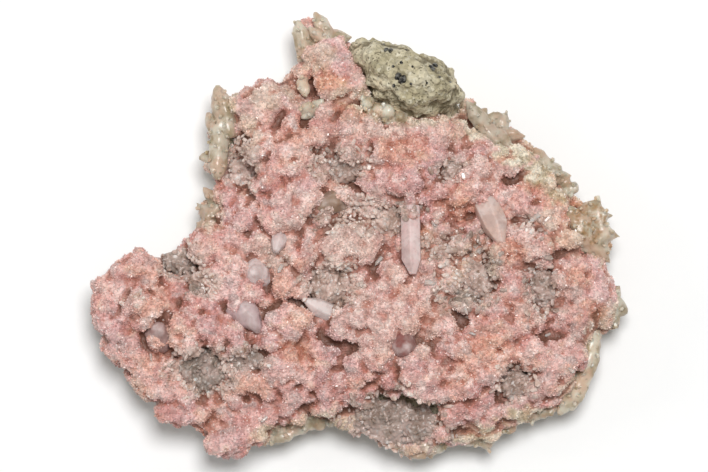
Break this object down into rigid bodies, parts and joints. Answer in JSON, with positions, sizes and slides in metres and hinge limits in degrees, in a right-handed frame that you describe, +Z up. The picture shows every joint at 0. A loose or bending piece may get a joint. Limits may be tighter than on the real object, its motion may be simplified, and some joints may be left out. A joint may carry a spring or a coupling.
{
  "type": "stilbite mineral specimen",
  "caption": "Plate of pink stilbite crystal lumps on tan host rock, with grey quartz in its hollows, single quartz prisms and a pale crystal rim, lying on its back.",
  "frame": {"origin": "on the floor under the middle of the specimen's box, as it lies with its crystals up", "axes": "+X to the right of the crystal face along its longest extent, +Y to the top of the face where the bare knob of rock is, +Z up out of the crystal face, its shortest extent"},
  "size_m": [0.1072, 0.0896, 0.0251],
  "materials": {
    "host_rock": "matte, granular",
    "pink_stilbite": "sugary, glinting",
    "grey_quartz": "glassy, translucent",
    "milky_quartz": "glassy, translucent",
    "cream_crystal": "glassy, translucent"
  },
  "bodies": {
    "root": {"matrix_rock": "host_rock", "pink_stilbite_crust": "pink_stilbite", "centre_prism": "milky_quartz", "east_prism": "milky_quartz", "west_prism": "milky_quartz", "round_prism": "milky_quartz", "slim_prism": "milky_quartz", "shoulder_prism": "milky_quartz", "saddle_prism": "milky_quartz", "heart_prism": "milky_quartz", "nook_prism": "milky_quartz", "grey_lens_prism": "milky_quartz", "summit_blades": "cream_crystal", "northwest_blades": "cream_crystal", "left_edge_crystals": "cream_crystal", "drooping_tip": "cream_crystal", "northeast_blade": "cream_crystal", "upper_right_rim": "cream_crystal", "right_rim_crystals": "cream_crystal", "right_tip_crystals": "cream_crystal", "southeast_blade": "cream_crystal", "lower_right_rim": "cream_crystal", "bottom_rim": "cream_crystal", "lower_left_rim": "cream_crystal", "knob_foot_crystals": "cream_crystal", "fan_crystals": "cream_crystal", "south_druse": "grey_quartz", "west_druse": "grey_quartz", "west_hollow_druse": "grey_quartz", "shoulder_druse": "grey_quartz", "flank_druse": "grey_quartz", "upper_left_druse": "grey_quartz", "north_druse": "grey_quartz", "centre_druse": "grey_quartz", "heart_druse": "grey_quartz", "high_druse": "grey_quartz", "east_druse": "grey_quartz", "far_east_druse": "grey_quartz", "southeast_druse": "grey_quartz"}
  },
  "joints": []
}
